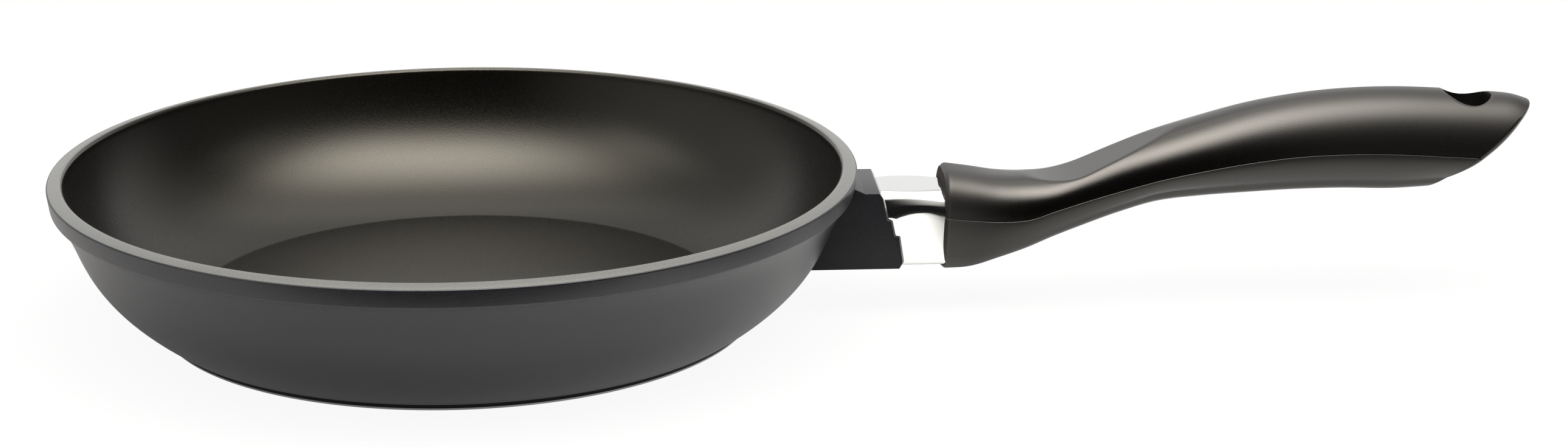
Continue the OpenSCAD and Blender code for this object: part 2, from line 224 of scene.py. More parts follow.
# Fades along x or y: where each starts and ends, and its level at both
FLOOR_GLOW = (-160, 100, 0.12, 1.0)
CARD_CLEAR = (-150, 20, 0.0, 1.0)
CARD_SIDE = (152, 162, 1.0, 0.0)
CARD_FRONT = (-166, -165, 0.0, 1.0)
PANEL_LEFT = (-850, 20, 0.20, 1.0)
PANEL_RIGHT = (300, 1250, 1.0, 0.10)
PANEL_NEAR = (-1150, -220, 0.0, 1.0)
PANEL_FAR = (-380, 500, 1.0, 0.13)

# Light panel, and the world's fades by direction
PANEL_SIZE = (3300, 2000)
PANEL_PLACE = Vector((200, -150, 1100))
PANEL_LEVEL = 8.0
WORLD_BEHIND = (0.15, 0.80, 0.0, 0.90)
WORLD_RIGHT = (0.35, 1.0, 0.0, 0.12)
WORLD_LEFT = (-0.90, -0.30, 0.50, 0.0)
WORLD_LEAST = 0.01

# Camera, fitted to the photograph: its place, and its tilt, roll and turn in degrees
PHOTO_WIDTH = 2576
FOCAL_PIXELS = 5000
SENSOR_WIDTH = 36
CAMERA_PLACE = Vector((30.784, -881.543, 295.990))
CAMERA_ANGLES = (72.9604, -0.2691, -4.3048)


# Outlines

def arc(cx, cy, r, a, b, n):
    return [(cx + r * math.cos(t), cy + r * math.sin(t)) for t in np.radians(np.linspace(a, b, n + 1))]


def spread(shares, low, high):
    return [(low[0] + (high[0] - low[0]) * a, low[1] + (high[1] - low[1]) * b) for a, b in shares]


def cubic(shares, low, high, n):
    p = np.array(spread(shares, low, high))
    t = np.linspace(0, 1, n + 1)[:, None]
    u = 1 - t
    curve = u ** 3 * p[0] + 3 * t * u * u * p[1] + 3 * t * t * u * p[2] + t ** 3 * p[3]
    return [tuple(q) for q in curve]


def rounded(points, n):
    """Polyline whose corners with a third value are rounded from that distance on each side."""
    out = []
    for i, p in enumerate(points):
        if len(p) < 3:
            out.append(p)
            continue
        corner = np.array(p[:2])
        ends = []
        for q in (points[i - 1], points[i + 1]):
            way = np.array(q[:2]) - corner
            length = np.linalg.norm(way)
            ends.append(corner + way / length * min(p[2], length * SIDE_SHARE))
        for t in np.linspace(0, 1, n + 1):
            out.append(tuple((1 - t) ** 2 * ends[0] + 2 * t * (1 - t) * corner + t * t * ends[1]))
    return out


def round_box(w, low, high, r, n=8):
    """Box of width w between two heights, with rounded corners."""
    h = w / 2
    return (arc(h - r, low + r, r, -90, 0, n) + arc(h - r, high - r, r, 0, 90, n)
            + arc(r - h, high - r, r, 90, 180, n) + arc(r - h, low + r, r, 180, 270, n))


# Meshes

def make_mesh(name, points, faces, mats, picks=None):
    mesh = bpy.data.meshes.new(name)
    mesh.from_pydata([(x * MM, y * MM, z * MM) for x, y, z in points], [], faces)
    for mat in mats:
        mesh.materials.append(mat)
    if picks is not None:
        mesh.polygons.foreach_set("material_index", picks)
    bm = bmesh.new()
    bm.from_mesh(mesh)
    bmesh.ops.recalc_face_normals(bm, faces=bm.faces)
    bm.to_mesh(mesh)
    bm.free()
    shade(mesh)
    ob = bpy.data.objects.new(name, mesh)
    bpy.context.collection.objects.link(ob)
    return ob


def shade(mesh):
    mesh.shade_smooth()
    mesh.set_sharp_from_angle(angle=SHARP_TURN)


def prism(name, outline, low, high, place, mats=()):
    """Closed prism: place(a, b, depth) puts the outline's points at both depths."""
    n = len(outline)
    points = [place(a, b, d) for d in (low, high) for a, b in outline]
    faces = [tuple(range(n)), tuple(range(n, 2 * n))]
    faces += [(i, (i + 1) % n, n + (i + 1) % n, n + i) for i in range(n)]
    return make_mesh(name, points, faces, mats)


def skin(name, rings, mats, closed):
    """Mesh through rings of equal size, joined back to the first one or closed by a fan at each end."""
    n = len(rings)
    m = len(rings[0])
    points = [tuple(p) for r in rings for p in r]
    faces = []
    for j in range(n if closed else n - 1):
        a = j * m
        b = (j + 1) % n * m
        faces += [(a + i, a + (i + 1) % m, b + (i + 1) % m, b + i) for i in range(m)]
    if not closed:
        for ring, start in ((rings[0], 0), (rings[-1], (n - 1) * m)):
            points.append(tuple(np.mean(ring, axis=0)))
            faces += [(len(points) - 1, start + i, start + (i + 1) % m) for i in range(m)]
    return make_mesh(name, points, faces, mats)


def apply_modifiers(ob):
    graph = bpy.context.evaluated_depsgraph_get()
    mesh = bpy.data.meshes.new_from_object(ob.evaluated_get(graph))
    ob.modifiers.clear()
    ob.data = mesh
    shade(mesh)


def cut(ob, tools):
    for tool in tools:
        mod = ob.modifiers.new("cut", "BOOLEAN")
        mod.operation = "DIFFERENCE"
        mod.solver = "EXACT"
        mod.object = tool
    apply_modifiers(ob)
    for tool in tools:
        bpy.data.objects.remove(tool)


# Ways to lay a prism's outline: along the handle, across it, and upright

def along(a, b, depth):
    return (depth, a, b)


def across(a, b, depth):
    return (a, depth, b)


def upright(a, b, depth):
    return (a, b, depth)


def stand_for(ob, node):
    """Lets a piece take the place of a CAD node."""
    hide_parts(node)
    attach(ob, "root")


# Node trees

class Nodes:
    def __init__(self, tree, output):
        self.tree = tree
        self.tree.nodes.clear()
        self.out = self.tree.nodes.new(output)
        self.places = None

    def new(self, kind, inputs=None, **props):
        node = self.tree.nodes.new(kind)
        for key, value in props.items():
            setattr(node, key, value)
        for key, value in (inputs or {}).items():
            if isinstance(value, bpy.types.NodeSocket):
                self.tree.links.new(value, node.inputs[key])
            else:
                node.inputs[key].default_value = value
        return node

    def where(self):
        if self.places is None:
            self.places = self.new("ShaderNodeTexCoord").outputs["Object"]
        return self.places

    def noise(self, scale, detail=2.0, rough=0.5, where=None):
        inputs = {"Vector": where or self.where(), "Scale": scale, "Detail": detail, "Roughness": rough}
        return self.new("ShaderNodeTexNoise", inputs).outputs["Fac"]

    def cells(self, scale):
        inputs = {"Vector": self.where(), "Scale": scale}
        return self.new("ShaderNodeTexVoronoi", inputs).outputs["Distance"]

    def span(self, value, low, high, to_low=0.0, to_high=1.0, kind="LINEAR"):
        inputs = {"Value": value, "From Min": low, "From Max": high,
                  "To Min": to_low, "To Max": to_high}
        return self.new("ShaderNodeMapRange", inputs, interpolation_type=kind).outputs["Result"]

    def fade(self, place, low, high, to_low, to_high, kind="LINEAR"):
        """Span between two places in millimetres."""
        return self.span(place, low * MM, high * MM, to_low, to_high, kind)

    def parts(self, vector):
        """The x, y and z of a vector."""
        return self.new("ShaderNodeSeparateXYZ", {0: vector}).outputs

    def math(self, op, a, b=0.0):
        return self.new("ShaderNodeMath", {0: a, 1: b}, operation=op).outputs[0]

    def mix(self, share, a, b):
        """Blend of two colours: the node's colour sockets are inputs 6 and 7 and output 2."""
        return self.new("ShaderNodeMix", {0: share, 6: a, 7: b}, data_type="RGBA").outputs[2]

    def bump(self, height, depth):
        """Surface grain with its depth in millimetres."""
        return self.new("ShaderNodeBump", {"Height": height, "Distance": depth * MM}).outputs["Normal"]

    def finish(self, node):
        self.tree.links.new(node.outputs[0], self.out.inputs["Surface"])


def new_material(name):
    mat = bpy.data.materials.new(name)
    mat.use_nodes = True
    return mat, Nodes(mat.node_tree, "ShaderNodeOutputMaterial")


def colour(r, g, b):
    return (r, g, b, 1.0)


# Materials

# How many times paler a coating's flecks are than its light tone
FLECK = 2.6


def coating(name, dark, light, ior, rough, depth, tint=(1, 1, 1)):
    """Sprayed coating: fine grain, sparse paler flecks and soft cloudy variation."""
    mat, n = new_material(name)
    grain = n.noise(2600, 3.0, 0.6)
    cloud = n.noise(22, 3.0)
    flecks = n.span(n.cells(1500), 0.02, 0.30, 0.25, 0.0)
    tone = n.math("ADD", n.math("MULTIPLY", grain, 0.7), n.math("MULTIPLY", cloud, 0.3))
    base = n.mix(n.span(tone, 0.30, 0.70), colour(*dark), colour(*light))
    base = n.mix(flecks, base, colour(*[FLECK * c for c in light]))
    n.finish(n.new("ShaderNodeBsdfPrincipled", {
        "Base Color": base,
        "Roughness": n.span(grain, 0.3, 0.7, rough - 0.05, rough + 0.06),
        "IOR": ior,
        "Specular Tint": colour(*tint),
        "Normal": n.bump(grain, depth)}))
    return mat


def turned_metal():
    """Bare aluminium of the base with fine circular tool marks."""
    mat, n = new_material("turned_base")
    x, y, _ = n.parts(n.where())
    squares = n.math("ADD", n.math("MULTIPLY", x, x), n.math("MULTIPLY", y, y))
    radius = n.new("ShaderNodeCombineXYZ", {0: n.math("SQRT", squares)}).outputs[0]
    marks = n.noise(2600, 2.0, 0.6, radius)
    n.finish(n.new("ShaderNodeBsdfPrincipled", {
        "Base Color": n.mix(n.noise(30, 3.0), colour(0.50, 0.50, 0.50), colour(0.62, 0.62, 0.61)),
        "Metallic": 1.0,
        "Roughness": n.span(marks, 0.3, 0.7, 0.28, 0.42),
        "Normal": n.bump(marks, 0.04)}))
    return mat


def polished_sheet():
    """Mirror-polished sheet steel with very faint drawn scratches."""
    mat, n = new_material("polished_sheet")
    drawn = n.new("ShaderNodeMapping", {"Vector": n.where(), "Scale": (30, 900, 900)}).outputs[0]
    lines = n.noise(1.0, 3.0, 0.6, drawn)
    n.finish(n.new("ShaderNodeBsdfPrincipled", {
        "Base Color": n.mix(n.noise(60, 2.0), colour(0.87, 0.865, 0.85), colour(0.90, 0.895, 0.88)),
        "Metallic": 1.0,
        "Roughness": n.span(lines, 0.3, 0.7, 0.03, 0.08),
        "Normal": n.bump(n.noise(90, 1.0), 0.02)}))
    return mat


def moulded_front():
    """Dull end face of the moulding, which the metal of the flame guard meets."""
    mat, n = new_material("moulded_front")
    grain = n.noise(3000, 3.0, 0.6)
    n.finish(n.new("ShaderNodeBsdfPrincipled", {
        "Base Color": n.mix(grain, colour(0.010, 0.007, 0.005), colour(0.022, 0.016, 0.012)),
        "Roughness": n.span(grain, 0.3, 0.7, 0.55, 0.7),
        "IOR": 1.12,
        "Normal": n.bump(grain, 0.02)}))
    return mat


def moulded_grip():
    """Moulding with a fine eroded grain and a little mottling, duller at its front and tail."""
    mat, n = new_material("moulded_grip")
    grain = n.noise(4200, 3.0, 0.65)
    cloud = n.noise(45, 3.0)
    pits = n.span(n.cells(3200), 0.0, 0.35, 0.5, 0.0)
    tone = n.math("ADD", n.math("MULTIPLY", grain, 0.6), n.math("MULTIPLY", cloud, 0.4))
    base = n.mix(n.span(tone, 0.3, 0.7), colour(0.0004, 0.0004, 0.0004), colour(0.0014, 0.0013, 0.0012))
    x, _, _ = n.parts(n.where())
    front = n.fade(x, HANDLE_X, HANDLE_X + DULL_FRONT, 0.26, 0.0, "SMOOTHSTEP")
    tail = n.fade(x, HANDLE_X + DULL_TAIL[0], HANDLE_X + DULL_TAIL[1], 0.0, 0.17, "SMOOTHSTEP")
    n.finish(n.new("ShaderNodeBsdfPrincipled", {
        "Base Color": base,
        "Roughness": n.math("ADD", n.span(grain, 0.3, 0.7, 0.14, 0.23), n.math("ADD", front, tail)),
        "IOR": 1.75,
        "Specular Tint": colour(1.0, 0.955, 0.90),
        "Normal": n.bump(n.math("SUBTRACT", grain, pits), 0.02)}))
    return mat


def plated(name, low, high, rough):
    """Metal of the fasteners, with an uneven tone and roughness."""
    mat, n = new_material(name)
    grain = n.noise(700, 3.0)
    n.finish(n.new("ShaderNodeBsdfPrincipled", {
        "Base Color": n.mix(n.noise(200, 3.0), colour(*low), colour(*high)),
        "Metallic": 1.0,
        "Roughness": n.span(grain, 0.3, 0.7, rough - 0.08, rough + 0.1),
        "Normal": n.bump(grain, 0.01)}))
    return mat


OUTSIDE = coating("outside_coat", dark=(0.006, 0.006, 0.009), light=(0.012, 0.0115, 0.016),
                  ior=1.6, rough=0.33, depth=0.04)
LUG_COAT = coating("lug_coat", dark=(0.004, 0.004, 0.006), light=(0.012, 0.012, 0.016),
                   ior=1.36, rough=0.45, depth=0.05)
INSIDE = coating("inside_coat", dark=(0.001, 0.0009, 0.0007), light=(0.003, 0.0028, 0.0022),
                 ior=1.60, rough=0.24, depth=0.03, tint=(1.0, 0.945, 0.82))
# The rim coat is the inside coat made many times paler: its light tone is painted sheen that stands in
# for the bright reflection along the rim top
RIM_PAINTED_SHEEN = coating("rim_painted_sheen", dark=(0.085, 0.085, 0.080), light=(0.115, 0.115, 0.108),
              ior=2.0, rough=0.24, depth=0.03, tint=(1.0, 1.0, 0.94))
BASE_METAL = turned_metal()
SHEET = polished_sheet()
GRIP = moulded_grip()
GRIP_FRONT = moulded_front()
SCREW_PLATE = plated("screw_plate", (0.60, 0.60, 0.62), (0.72, 0.72, 0.74), 0.30)
WASHER_PLATE = plated("washer_plate", (0.56, 0.56, 0.58), (0.68, 0.68, 0.70), 0.34)
BRASS = plated("insert_brass", (0.55, 0.42, 0.20), (0.68, 0.54, 0.28), 0.32)


# CAD solids that keep their shape

def dress_fasteners():
    dress = {"handle_screw": SCREW_PLATE, "spring_washer": WASHER_PLATE,
             "flat_washer": WASHER_PLATE, "thread_insert": BRASS}
    for name, mat in dress.items():
        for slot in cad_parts[name].material_slots:
            slot.material = mat


# Bowl: one turned profile, with the small roundings that a casting has

def bowl_profile():
    """Stretches of the profile, from the base's middle round to the floor's, with their materials."""
    pitch = (FOOT_R - RING_LAND - RING_W - RING_R) / (RING_COUNT - 1)
    under = [(0, 0)]
    for i in range(RING_COUNT):
        a = RING_R + i * pitch
        b = a + RING_W
        under += [(a, 0, RING_SOFT), (a + RING_SOFT, RING_D, RING_SOFT),
                  (b - RING_SOFT, RING_D, RING_SOFT), (b, 0, RING_SOFT)]
    under = rounded(under + [(FOOT_R, 0, FOOT_H / 3), (FOOT_R, FOOT_H)], 3)[:-1]
    foot = [(FOOT_R, FOOT_H / 2), (FOOT_R, FOOT_H, FOOT_SOFT), (BASE_R - LEDGE_W, FOOT_H)]
    foot = rounded(foot, 3)[1:]
    outer = cubic(OUTER, (BASE_R, FOOT_H), (SEAM_R, SEAM_H), CURVE_STEPS)
    wall = rounded([foot[-1], (*outer[0], WALL_SOFT)] + outer[1:-1], 4)[1:]
    band = [(SEAM_R, SEAM_H, SEAM_SOFT), (RIM_R, EDGE_H, BAND_SOFT)]
    band = rounded([outer[-2]] + band + [(CREST_R, RIM_H)], 5)[1:-1]
    # The rim top takes the paler rim coat, whose light tone is painted sheen for the reflection along it
    top = arc(CREST_R, RIM_H - RIM_ROUND, RIM_ROUND, 90, 120, 4)
    lip = arc(CREST_R, RIM_H - RIM_ROUND, RIM_ROUND, 120, 180, 7)[1:]
    inner = cubic(INNER, (FLOOR_R, FLOOR_T), (INNER_R, RIM_H - RIM_ROUND), CURVE_STEPS)[::-1]
    heel = [(FLOOR_R, FLOOR_T, HEEL_SOFT), (FLOOR_R - 6 * HEEL_SOFT, FLOOR_T)]
    inside = rounded(inner[:-1] + heel, 6)[1:]
    floor = [(r, FLOOR_T) for r in FLOOR_RINGS]
    return [(under, BASE_METAL), (foot, LUG_COAT), (wall, OUTSIDE), (band, OUTSIDE), (top, RIM_PAINTED_SHEEN),
            (lip + inside + floor, INSIDE)]


def bowl():
    mats = [OUTSIDE, INSIDE, BASE_METAL, RIM_PAINTED_SHEEN, LUG_COAT]
    turns = np.arange(SEGMENTS) * 2 * math.pi / SEGMENTS
    profile = [(r, z, mats.index(mat)) for stretch, mat in bowl_profile() for r, z in stretch]
    points = [(0, 0, 0)]
    for r, z, kind in profile[1:-1]:
        points += [(r * math.cos(t), r * math.sin(t), z) for t in turns]
    points.append((0, 0, FLOOR_T))
    rows = len(profile) - 2
    faces = []
    picks = []
    for j in range(rows + 1):
        for i in range(SEGMENTS):
            k = (i + 1) % SEGMENTS
            low = 1 + (j - 1) * SEGMENTS
            high = low + SEGMENTS
            if j == 0:
                faces.append((0, high + k, high + i))
            elif j == rows:
                faces.append((len(points) - 1, low + i, low + k))
            else:
                faces.append((low + i, low + k, high + k, high + i))
            picks.append(profile[j + 1][2])
    return make_mesh("pan_bowl", points, faces, mats, picks)


# Lug with the tongue that the handle is screwed to

def lug():
    """Lug with its stepped end: coated sides, a top like the wall, and bare metal at the end."""
    mats = [LUG_COAT, BASE_METAL, OUTSIDE]
    wall = cubic(OUTER, (BASE_R, FOOT_H), (SEAM_R, SEAM_H), CURVE_STEPS)
    root = [(r - LUG_SINK, z) for r, z in wall[::-4] if LUG_LOW + 0.5 < z < SEAM_H - 1]
    end = spread(END_LINE, (RIM_R, LUG_LOW), (LUG_END, LUG_TOP))
    side = [(root[-1][0], LUG_LOW)] + end + [(RIM_R + LUG_SLOPE, LUG_TOP)]
    side += [(SEAM_R - LUG_SLOPE, SEAM_H), (SEAM_R - LUG_SINK, SEAM_H)] + root
    ob = prism("pan_lug", side, -LUG_W / 2, LUG_W / 2, across, mats)
    mod = ob.modifiers.new("edges", "BEVEL")
    mod.width = LUG_EDGE * MM
    mod.segments = 4
    mod.limit_method = "ANGLE"
    mod.angle_limit = math.radians(12)
    apply_modifiers(ob)
    for face in ob.data.polygons:
        looks_up = face.normal.z > 0.6
        looks_out = face.normal.x > 0.35 and face.normal.z > -0.5
        if looks_up:
            face.material_index = mats.index(OUTSIDE)
        elif looks_out:
            face.material_index = mats.index(BASE_METAL)
    return ob


def tongue():
    box = round_box(TONGUE_W, TONGUE_LOW, TONGUE_LOW + TONGUE_H, TONGUE_H / 5)
    return prism("pan_tongue", box, RIM_R, HANDLE_X + TONGUE_IN, along, [OUTSIDE])


# Flame guard: a formed tube whose upper corners widen from the lug to the handle

def guard_outline(share, inset):
    """Outline at a share of the way from the lug to the handle, drawn in by inset."""
    u = min(max(share, 0), 1)
    weights = ((1 - u) * (1 - 2 * u), 4 * u * (1 - u), u * (2 * u - 1))
    heights = [sum(w * z for w, z in zip(weights, column)) for column in zip(*TURN_AT)]
    r = GUARD_ROUND - inset / 2
    y = GUARD_W / 2 - inset
    right = arc(y - r, GUARD_LOW + inset + r, r, -90, 0, 6)
    low = right[-1][1]
    # The sheet has a point at each step of the lug's end, so that it follows the steps
    steps = [z for _, z in spread(END_LINE[:4], (0, LUG_LOW), (0, LUG_TOP)) if z > low]
    first = TURN_AT[0][0]
    for z in sorted(steps + list(np.linspace(low, first, 9)[1:-1])):
        right.append((y, low + (z - low) * (heights[0] - low) / (first - low)))
    for (a, b), (low, high) in zip(zip(TURN, TURN[1:]), zip(heights, heights[1:])):
        size = (high - low) / (math.sin(math.radians(b)) - math.sin(math.radians(a)))
        centre = (y - size * math.cos(math.radians(a)), low - size * math.sin(math.radians(a)))
        turn = arc(*centre, size, a, b, 2 if b < 10 else 6)
        right += turn[:-1] if b < 90 else turn
        y = turn[-1][0]
    right = [(y, z - inset * max(0, (z - first) / (GUARD_TOP - first))) for y, z in right]
    return right + [(-y, z) for y, z in right[::-1]]


def guard_start(z):
    """Place of the lug's end line at height z."""
    end = spread(END_LINE, (RIM_R, LUG_LOW), (LUG_END, LUG_TOP))
    return np.interp(z, [high for _, high in end], [x for x, _ in end])


def guard():
    """Tube of sheet: a rounded edge along the lug, the outside, and the inside back to the lug."""
    ends = np.array([guard_start(z) for _, z in guard_outline(0, 0)])
    stop = HANDLE_X + GUARD_SEAT
    rings = []

    def add(share, back, inset):
        way = share * (stop - GUARD_FROM) / (HANDLE_X - GUARD_FROM)
        outline = np.array(guard_outline(way, inset))
        x = ends + back + (stop - ends - back) * share
        rings.append(np.column_stack([x, outline]))

    for t in np.radians(np.linspace(90, 0, 5)):
        add(0, GUARD_EDGE * (1 - math.sin(t)), GUARD_EDGE * (1 - math.cos(t)))
    for share in np.linspace(0, 1, 19)[1:]:
        add(share, GUARD_EDGE, 0)
    for share in (1, 0.5, 0):
        add(share, 0, GUARD_T)
    return skin("guard_sheet", rings, [SHEET], True)


# Handle: the CAD's rings in a finer mesh, with softened edges

def smooth(s, column):
    """Smooth curve through one column of the rows, at shares s of the handle's length."""
    i = np.clip(np.searchsorted(ROWS[:, 0], s, side="right") - 1, 0, len(ROWS) - 2)
    low = np.maximum(np.arange(len(ROWS)) - 1, 0)
    high = np.minimum(np.arange(len(ROWS)) + 1, len(ROWS) - 1)
    slopes = (ROWS[high, column] - ROWS[low, column]) / (ROWS[high, 0] - ROWS[low, 0])
    a = ROWS[i, column]
    b = ROWS[i + 1, column]
    w = ROWS[i + 1, 0] - ROWS[i, 0]
    t = (s - ROWS[i, 0]) / w
    u = 1 - t
    bend = w * (slopes[i] * t * u * u - slopes[i + 1] * t * t * u)
    return a * (1 + 2 * t) * u * u + b * t * t * (3 - 2 * t) + bend


def side_shares():
    """Points under the crease: share of the way down, factor of y, shift of y, shift of z."""
    side = [(0, 1, -a, -b) for a, b in LEDGE]
    turn = arc(-UNDER_ROUND, UNDER_ROUND, UNDER_ROUND, -math.degrees(UNDER_TURN), -90, ARC_STEPS)
    low = LEDGE[-1][1]
    for f in np.arange(1, FLANK_STEPS + 1) / (FLANK_STEPS + 1):
        side.append((f, 1, turn[0][0] * f, turn[0][1] * f - low * (1 - f)))
    side += [(1, 1, dy, dz) for dy, dz in turn]
    for f in (np.arange(UNDER_STEPS) + 1) / (UNDER_STEPS + 0.5):
        side.append((1, 1 - f, -UNDER_ROUND, 0))
    return np.array(side + [(g, -m, dy, dz) for g, m, dy, dz in side[::-1]])


SIDE = side_shares()
TOP_TURN = np.radians(180 - 180 * np.arange(TOP_STEPS + 1) / TOP_STEPS)
TOP_SIDE = np.sign(np.arange(TOP_STEPS + 1) - TOP_STEPS / 2)
RING_SIZE = TOP_STEPS + 1 + len(SIDE)


def section(x):
    """y and z of a ring's points, each at its own place x along the handle."""
    s = (x - HANDLE_X) / HANDLE_LEN
    crest, crease, under = [HANDLE_LOW + HANDLE_RISE * smooth(s, c) for c in (1, 2, 3)]
    half, low = [HALF_GRIP * smooth(s, c) for c in (4, 5)]
    power = 2 / smooth(s, 6)
    n = TOP_STEPS + 1
    rise = (crest - crease)[:n] * np.maximum(np.sin(TOP_TURN), 0) ** power[:n]
    top_y = (half[:n] - rise * math.tan(DOME_LEAN)) * TOP_SIDE * np.abs(np.cos(TOP_TURN)) ** power[:n]
    top_z = crease[:n] + rise
    share, factor, shift_y, shift_z = SIDE.T
    crown = (half - low + (crease - under) * math.tan(FLANK_LEAN))[n:] * share * (1 - share)
    side_y = factor * ((1 - share) * half[n:] + share * low[n:] + crown + shift_y)
    side_z = (1 - share) * crease[n:] + share * under[n:] + shift_z
    return np.concatenate([top_y, side_y]), np.concatenate([top_z, side_z])


def ring(x, lean=0.0):
    """Ring of points at x, leaning by a share of the tail's slant."""
    place = np.full(RING_SIZE, float(x))
    # Each pass brings the points closer to the slant, because their heights hang on their places
    for _ in range(3 if lean else 0):
        place = x + lean * TAIL_COT * (section(place)[1] - TAIL_H)
    y, z = section(place)
    return np.column_stack([place, y, z])


def drawn_in(r, inset, shift, nose=0.0):
    """Ring drawn in towards its middle, by nose more at its top, and moved by shift."""
    middle = r.mean(0)
    high = r[TOP_STEPS // 2, 2] - middle[2]
    share = (np.maximum(0, r[:, 2] - middle[2]) / high) ** 3
    way = middle - r
    return r + way * ((inset + nose * share) / np.linalg.norm(way, axis=1))[:, None] + shift


def scoop_height(x):
    """Height of the thumb scoop's cut: a tight arc, and the straight slope that leaves it."""
    left = SCOOP_X - SCOOP_R * math.sin(2 * SCOOP_ANGLE)
    foot_x = SCOOP_X + SCOOP_R * math.sin(SCOOP_ANGLE)
    foot_z = SCOOP_LOW + SCOOP_R * (1 - math.cos(SCOOP_ANGLE))
    u = np.clip(x, left, foot_x) - SCOOP_X
    z = SCOOP_LOW + SCOOP_R - np.sqrt(SCOOP_R ** 2 - u ** 2)
    z = np.where(x > foot_x, foot_z + (x - foot_x) * math.tan(SCOOP_ANGLE), z)
    return np.where(x < left, z + (left - x) * SCOOP_LIFT, z)


def handle_rings():
    """Rings from the front face's rounded edge along the handle and round the edge of the tail."""
    depth = FRONT_EDGE[-1][1]
    start = HANDLE_X + depth
    top = section(np.full(RING_SIZE, HANDLE_X))[1][TOP_STEPS // 2]

    def leaned_back(r):
        share = FRONT_LEAN * np.maximum(0, 1 - (r[0, 0] - start) / FRONT_BLEND)
        r[:, 0] += share * (r[:, 2] - HANDLE_LOW) / (top - HANDLE_LOW)
        return r

    first = leaned_back(ring(start))
    rings = [drawn_in(first, inset, np.array([back - depth, 0, 0])) for inset, back in FRONT_EDGE]
    for x in np.linspace(start, LEAN_X, BODY_STEPS + 1)[1:]:
        rings.append(leaned_back(ring(x)))
    for k in np.arange(1, TAIL_STEPS + 1) / TAIL_STEPS:
        rings.append(ring(LEAN_X + (TAIL_X - LEAN_X) * k, k ** LEAN_POWER))
    tail = rings[-1]
    # The tail's edge goes out square to its slant, and level at its lowest point
    middle = tail[:, 2].mean()
    level = np.clip((middle - tail[:, 2]) / (middle - tail[:, 2].min()), 0, 1)
    out = np.zeros((RING_SIZE, 3))
    out[:, 0] = math.sin(TAIL_ANGLE)
    out[:, 2] = (level - 1) * math.cos(TAIL_ANGLE)
    for a in np.radians(np.linspace(0, 90, EDGE_STEPS + 1)[1:]):
        share = 1 - math.cos(a)
        shift = TAIL_ROUND * math.sin(a) * out
        rings.append(drawn_in(tail, TAIL_ROUND * share, shift, NOSE_ROUND * share))
    return np.array(rings)


def soften_cuts(grid):
    """Lowers the rings to the scoop with a soft edge, and rounds the mouth of the hanging hole."""
    above = grid[..., 2] - scoop_height(grid[..., 0])
    edge = (above + SCOOP_SOFT) ** 2 / (4 * SCOOP_SOFT)
    drop = np.where(above > SCOOP_SOFT, above, np.where(above > -SCOOP_SOFT, edge, 0))
    grid[..., 2] -= np.where(grid[..., 0] < LEAN_X, drop, 0)
    away = np.hypot(grid[..., 0] - HANG_X, grid[..., 1])[:, :TOP_STEPS + 1]
    share = np.clip((HANG_R + MOUTH_ROUND - away) / MOUTH_ROUND, 0, 1)
    grid[:, :TOP_STEPS + 1, 2] -= MOUTH_ROUND / 2 * share ** 2


def handle():
    """Moulded handle with its hanging hole, the seat of the guard and the screw's pocket cut out."""
    mats = [GRIP, GRIP_FRONT]
    grid = handle_rings()
    soften_cuts(grid)
    ob = skin("handle_grip", grid, mats, False)
    turn = Matrix.Translation((SCREW_X, 0, TONGUE_LOW)) @ Matrix.Rotation(-SCREW_LEAN, 4, "Y")

    def on_screw(a, b, depth):
        return tuple(turn @ Vector((a, b, depth)))

    circle = arc(HANG_X, 0, HANG_R, 0, 360, 128)[:-1]
    hole = prism("hole_tool", circle, 0, HOLE_REACH, upright)
    outline = guard_outline(1, -SEAT_GAP)
    seat = prism("seat_tool", outline, HANDLE_X - SEAT_REACH, HANDLE_X + GUARD_SEAT, along)
    circle = arc(0, 0, POCKET_R, 0, 360, 64)[:-1]
    pocket = prism("pocket_tool", circle, POCKET_TOP - POCKET_REACH, POCKET_TOP, on_screw)
    cut(ob, [hole, seat, pocket])
    for face in ob.data.polygons:
        if face.normal.x < -0.9 and face.center.x < (HANDLE_X + 2 * FRONT_LEAN) * MM:
            face.material_index = mats.index(GRIP_FRONT)
    return ob


dress_fasteners()
stand_for(bowl(), "pan_body")
stand_for(lug(), "pan_body")
stand_for(tongue(), "pan_body")
stand_for(guard(), "flame_guard")
stand_for(handle(), "handle")


# Floor, light and camera

def stage_plane(name, x0, x1, y0, y1, z, mat):
    ob = make_mesh(name, [(x0, y0, z), (x1, y0, z), (x1, y1, z), (x0, y1, z)], [(0, 1, 2, 3)], [mat])
    return ob


def only_in_reflections(ob):
    ob.visible_camera = False
    ob.visible_shadow = False
    ob.visible_diffuse = False


def pale_floor():
    """Pale floor that the camera, and in part a glossy surface, sees as white, with its shadow kept.

    It is clear from below, so that the underside can be looked at.
    """
    mat, n = new_material("pale_floor")
    path = n.new("ShaderNodeLightPath").outputs
    straight = path["Is Camera Ray"]
    seen = n.math("MAXIMUM", straight, n.math("MULTIPLY", path["Is Glossy Ray"], FLOOR_GLOSS))
    x, _, _ = n.parts(n.where())
    glow = n.math("MAXIMUM", straight, n.fade(x, *FLOOR_GLOW))
    plain = n.new("ShaderNodeBsdfDiffuse", {"Color": colour(0.82, 0.82, 0.82)})
    white = n.new("ShaderNodeEmission", {"Color": colour(1, 1, 1), "Strength": glow})
    share = n.math("MULTIPLY", seen, FLOOR_WHITE)
    top = n.new("ShaderNodeMixShader", {0: share, 1: plain.outputs[0], 2: white.outputs[0]})
    clear = n.new("ShaderNodeBsdfTransparent")
    below = n.new("ShaderNodeNewGeometry").outputs["Backfacing"]
    n.finish(n.new("ShaderNodeMixShader", {0: below, 1: top.outputs[0], 2: clear.outputs[0]}))
    return mat


